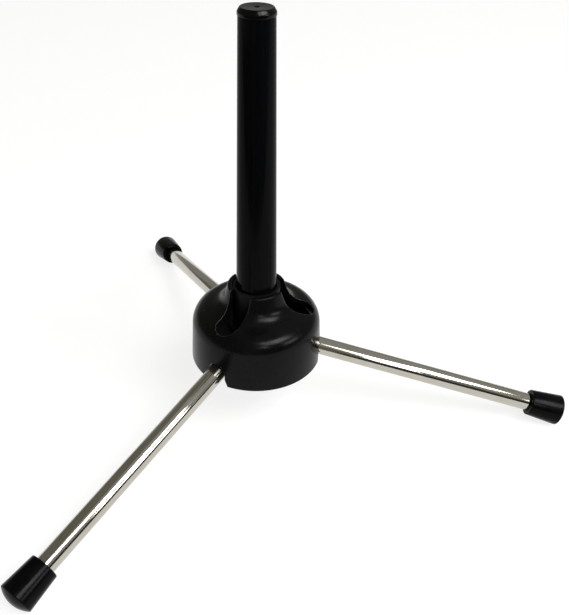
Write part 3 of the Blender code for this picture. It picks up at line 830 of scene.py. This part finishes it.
def cut_at_floor(item):
    """Cut a piece flat at the floor and take away what is below it."""
    only(item)
    bpy.ops.object.mode_set(mode="EDIT")
    bpy.ops.mesh.select_all(action="SELECT")
    bpy.ops.mesh.bisect(
        plane_co=(0, 0, 0), plane_no=(0, 0, 1), use_fill=True, clear_inner=True,
        threshold=CUT_THRESHOLD,
    )
    bpy.ops.object.mode_set(mode="OBJECT")
    tidy_mesh(item)


class STAND_OT_dome(Operator):
    """Spin the dome's wall and cut its slots and arches"""

    bl_idname = "woodwind_stand.dome"
    bl_label = "Dome"

    def execute(self, context):
        sizes = context.scene.stand_sizes
        section = rounded(dome_corners(sizes), arc_steps=8, closed=True)
        dome = turned("dome_moulding", section, sizes.steps)
        for make_tool in (slot_tool, arch_tool):
            for number in LEGS:
                carve(dome, make_tool(sizes, number))
        tidy_mesh(dome)
        smooth(dome, DOME_SHARP_DEGREES)
        dress(dome, "base", "dome", satin_moulding(context.scene.stand_finishes), "dome_shell")
        return {"FINISHED"}


class STAND_OT_peg(Operator):
    """Spin the tapered hollow peg and the bevelled cap in its top"""

    bl_idname = "woodwind_stand.peg"
    bl_label = "Peg and cap"

    def execute(self, context):
        sizes = context.scene.stand_sizes
        finishes = context.scene.stand_finishes
        peg_top = PEG_TIP + sizes.cap_seat_rise
        section = rounded(peg_corners(sizes, peg_top), arc_steps=4, closed=True)
        peg = turned("peg_tube", section, sizes.steps)
        smooth(peg)
        gloss = gloss_moulding(finishes, "gloss_black_tube", specular=0.035)
        dress(peg, "peg", "peg", gloss, "peg")

        cap = turned("peg_plug", rounded(cap_corners(sizes, peg_top), arc_steps=5), sizes.steps)
        smooth(cap)
        brighter_gloss = gloss_moulding(finishes, "gloss_black_cap", specular=0.13)
        dress(cap, "peg", "cap", brighter_gloss, "peg_cap")
        return {"FINISHED"}


class STAND_OT_legs(Operator):
    """Spin one leg tube and lay a copy along each leg"""

    bl_idname = "woodwind_stand.legs"
    bl_label = "Leg tubes"

    def execute(self, context):
        sizes = context.scene.stand_sizes
        section = rounded(tube_corners(sizes), arc_steps=3, closed=True)
        first = turned("nickel_tube_1", section, sizes.steps // 2)
        smooth(first)
        for number, tube in one_for_each_leg(context.scene, first, "nickel_tube"):
            put(tube, leg_place(sizes, number, 0.0), leg_turn(sizes, number))
            plate = nickel_plate(context.scene.stand_finishes, sizes, number)
            dress(tube, "leg_%d" % number, "tube", plate, "leg_tube_%d" % number)
        return {"FINISHED"}


class STAND_OT_feet(Operator):
    """Spin one rubber foot, lay a copy at each leg's end and cut it flat where it stands"""

    bl_idname = "woodwind_stand.feet"
    bl_label = "Feet"

    def execute(self, context):
        sizes = context.scene.stand_sizes
        section = rounded(foot_corners(sizes), arc_steps=5)
        first = turned("rubber_foot_1", section, sizes.steps // 2)
        feet = one_for_each_leg(context.scene, first, "rubber_foot")
        rubber = black_rubber(context.scene.stand_finishes)
        for number, foot in feet:
            put(foot, leg_place(sizes, number, sizes.foot_distance), leg_turn(sizes, number))
            cut_at_floor(foot)
            smooth(foot)
            dress(foot, "leg_%d" % number, "foot", rubber, "foot_%d" % number)
        return {"FINISHED"}


class STAND_OT_hidden(Operator):
    """Give the carrier, the leg eyes, the pins and the screws their finishes"""

    bl_idname = "woodwind_stand.hidden"
    bl_label = "Carrier and fixings"

    def execute(self, context):
        finishes = context.scene.stand_finishes
        nylon = black_nylon(finishes)
        pin_steel = bright_steel(finishes, "pin_steel", rings=(900.0, 900.0, 900.0))
        screw_steel = bright_steel(finishes, "screw_steel", rings=(60.0, 60.0, 3000.0))
        chosen = {"leg_carrier": nylon}
        for number in LEGS:
            chosen["leg_eye_%d" % number] = nylon
            chosen["pivot_pin_%d" % number] = pin_steel
            chosen["carrier_screw_%d" % number] = screw_steel
        for name, material in chosen.items():
            node = frame["nodes"][name]
            node.data.materials.clear()
            node.data.materials.append(material)
        return {"FINISHED"}


# Studio

def seen_directly(tree):
    """One for rays that show the background: from the camera, off a gloss or through glass."""
    path = add_node(tree, "ShaderNodeLightPath")
    mirrored = combined(tree, path.outputs["Is Camera Ray"], path.outputs["Is Glossy Ray"])
    return combined(tree, mirrored, path.outputs["Is Transmission Ray"])


def floor_material(studio):
    """Pale paper, lifted to white where it is seen, with the stand's shadow left on it."""
    material = bpy.data.materials.new("studio_paper")
    material.use_nodes = True
    tree = material.node_tree
    tree.nodes.clear()
    output = add_node(tree, "ShaderNodeOutputMaterial")
    seen = seen_directly(tree)
    tone = mottle(tree, object_space(tree), scale=9.0, detail=3.0)
    paper = blended(tree, spread(tree, tone), PAPER, PALE_PAPER)
    diffuse = add_node(tree, "ShaderNodeBsdfDiffuse")
    tree.links.new(laid_over(tree, paper, seen, SEEN_PAPER), diffuse.inputs["Color"])
    glow = add_node(tree, "ShaderNodeEmission", {"Color": (*studio.backdrop, 1.0)})
    level = add_node(tree, "ShaderNodeMath", operation="MULTIPLY")
    level.inputs[1].default_value = studio.floor_lift
    tree.links.new(seen, level.inputs[0])
    tree.links.new(level.outputs["Value"], glow.inputs["Strength"])
    both = add_node(tree, "ShaderNodeAddShader")
    tree.links.new(diffuse.outputs["BSDF"], both.inputs[0])
    tree.links.new(glow.outputs["Emission"], both.inputs[1])
    tree.links.new(both.outputs["Shader"], output.inputs["Surface"])
    return material


def card_material(name, glow):
    """Card lit evenly from behind, a little clouded."""
    material, tree, shader = finish_base(name, specular=0.1)
    cloud = mottle(tree, object_space(tree), scale=3.0, detail=3.0)
    dimmer = tuple(part * 0.85 for part in glow)
    clouded = blended(tree, spread(tree, cloud), glow, dimmer)
    tree.links.new(clouded, shader.inputs["Emission Color"])
    shader.inputs["Emission Strength"].default_value = 1.0
    shader.inputs["Base Color"].default_value = (0.04, 0.04, 0.04, 1.0)
    shader.inputs["Roughness"].default_value = 0.9
    return material


def lay_floor(studio):
    """Lay the floor just under the feet."""
    bpy.ops.object.select_all(action="DESELECT")
    bpy.ops.mesh.primitive_plane_add(size=FLOOR_SIZE, location=(0, 0, -FLOOR_DROP))
    floor = started("studio_floor")
    floor.data.materials.append(floor_material(studio))


def light_room(studio):
    """The room: white where it is seen, and an even fill for the rest."""
    world = bpy.data.worlds.new("studio_room")
    bpy.context.scene.world = world
    world.use_nodes = True
    tree = world.node_tree
    tree.nodes.clear()
    output = add_node(tree, "ShaderNodeOutputWorld")
    fill = add_node(tree, "ShaderNodeBackground", {"Strength": studio.sky_level})
    backdrop = add_node(tree, "ShaderNodeBackground", {"Color": (*studio.backdrop, 1.0)})
    final = add_node(tree, "ShaderNodeMixShader")
    tree.links.new(seen_directly(tree), final.inputs["Fac"])
    tree.links.new(fill.outputs["Background"], final.inputs[1])
    tree.links.new(backdrop.outputs["Background"], final.inputs[2])
    tree.links.new(final.outputs["Shader"], output.inputs["Surface"])


def hang_window(scene, studio):
    """Hang a lamp for each pane of the window, facing the stand."""
    for name, bearing, rise, wide, high in WINDOW_PANES:
        level = math.cos(rise)
        outwards = Vector((math.cos(bearing) * level, math.sin(bearing) * level, math.sin(rise)))
        lamp = bpy.data.lights.new(name, "AREA")
        lamp.shape = "RECTANGLE"
        lamp.size = 2 * studio.window_distance * math.tan(wide / 2)
        lamp.size_y = 2 * studio.window_distance * math.tan(high / 2)
        lamp.energy = studio.window_glow * math.pi * lamp.size * lamp.size_y
        pane = bpy.data.objects.new(name, lamp)
        pane.location = outwards * studio.window_distance
        pane.rotation_euler = outwards.to_track_quat("Z", "Y").to_euler()
        scene.collection.objects.link(pane)


def stand_card(name, size, place, turn, material):
    """Stand a card that is mirrored in the stand and lights or shades it, unseen by the camera."""
    bpy.ops.object.select_all(action="DESELECT")
    bpy.ops.mesh.primitive_plane_add(size=1.0)
    card = bpy.context.object
    card.name = name
    card.scale = (*size, 1.0)
    card.rotation_euler = turn
    card.location = place
    card.data.materials.append(material)
    card.visible_camera = False
    return card


def stand_cards():
    """Stand the room's walls and ceiling and a dark flag under the window, and lay a dark cloth."""
    materials = {name: card_material(name, glow) for name, glow in CARD_GLOWS.items()}
    for name, size, place, turn, finish in ROOM_CARDS:
        stand_card(name, size, place, turn, materials[finish])
    black = materials["black_card"]
    across, along = math.cos(FLAG_BEARING), math.sin(FLAG_BEARING)
    place = (FLAG_DISTANCE * across, FLAG_DISTANCE * along, FLAG_SIZE[1] / 2)
    stand_card("flag_window", FLAG_SIZE, place, (UPRIGHT, 0, FLAG_BEARING + UPRIGHT), black)
    cloth = stand_card("flag_cloth", CLOTH_SIZE, CLOTH_PLACE, LEVEL_TURN, black)
    cloth.visible_shadow = False
    cloth.visible_diffuse = False


def place_camera(scene, studio):
    """Set up the camera where the photo was taken from."""
    lens = bpy.data.cameras.new("stand_camera")
    lens.lens = studio.lens
    lens.sensor_width = SENSOR_WIDTH
    lens.clip_start = NEAREST_SEEN
    camera = bpy.data.objects.new("stand_camera", lens)
    camera.location = studio.camera_place
    camera.rotation_euler = studio.camera_turn
    scene.collection.objects.link(camera)
    scene.camera = camera


class STAND_OT_studio(Operator):
    """Lay the floor, light the window and the cards, and set up the camera"""

    bl_idname = "woodwind_stand.studio"
    bl_label = "Studio"

    def execute(self, context):
        scene = context.scene
        studio = scene.stand_studio
        scene.view_settings.view_transform = "Standard"
        lay_floor(studio)
        light_room(studio)
        hang_window(scene, studio)
        stand_cards()
        place_camera(scene, studio)
        return {"FINISHED"}


STEPS = (
    STAND_OT_dome, STAND_OT_peg, STAND_OT_legs, STAND_OT_feet, STAND_OT_hidden, STAND_OT_studio
)


class STAND_PT_pieces(Panel):
    """Sidebar list of the stand's pieces"""

    bl_idname = "STAND_PT_pieces"
    bl_label = "Woodwind Stand"
    bl_space_type = "VIEW_3D"
    bl_region_type = "UI"
    bl_category = "Stand"

    def draw(self, context):
        scene = context.scene
        for step in STEPS:
            self.layout.operator(step.bl_idname)
        for group in (scene.stand_sizes, scene.stand_finishes, scene.stand_studio):
            box = self.layout.box()
            for name in group.__annotations__:
                box.prop(group, name)


CLASSES = (StandSizes, StandFinishes, StudioSettings, *STEPS, STAND_PT_pieces)


def register():
    """Register the classes and hang their settings on the scene."""
    for entry in CLASSES:
        bpy.utils.register_class(entry)
    bpy.types.Scene.stand_sizes = PointerProperty(type=StandSizes)
    bpy.types.Scene.stand_finishes = PointerProperty(type=StandFinishes)
    bpy.types.Scene.stand_studio = PointerProperty(type=StudioSettings)


def unregister():
    """Take the settings and the classes away again."""
    del bpy.types.Scene.stand_sizes
    del bpy.types.Scene.stand_finishes
    del bpy.types.Scene.stand_studio
    for entry in reversed(CLASSES):
        bpy.utils.unregister_class(entry)


def main():
    """Make every piece in order."""
    register()
    bpy.ops.woodwind_stand.dome()
    bpy.ops.woodwind_stand.peg()
    bpy.ops.woodwind_stand.legs()
    bpy.ops.woodwind_stand.feet()
    bpy.ops.woodwind_stand.hidden()
    bpy.ops.woodwind_stand.studio()
    bpy.context.view_layer.update()


if __name__ == "__main__":
    main()
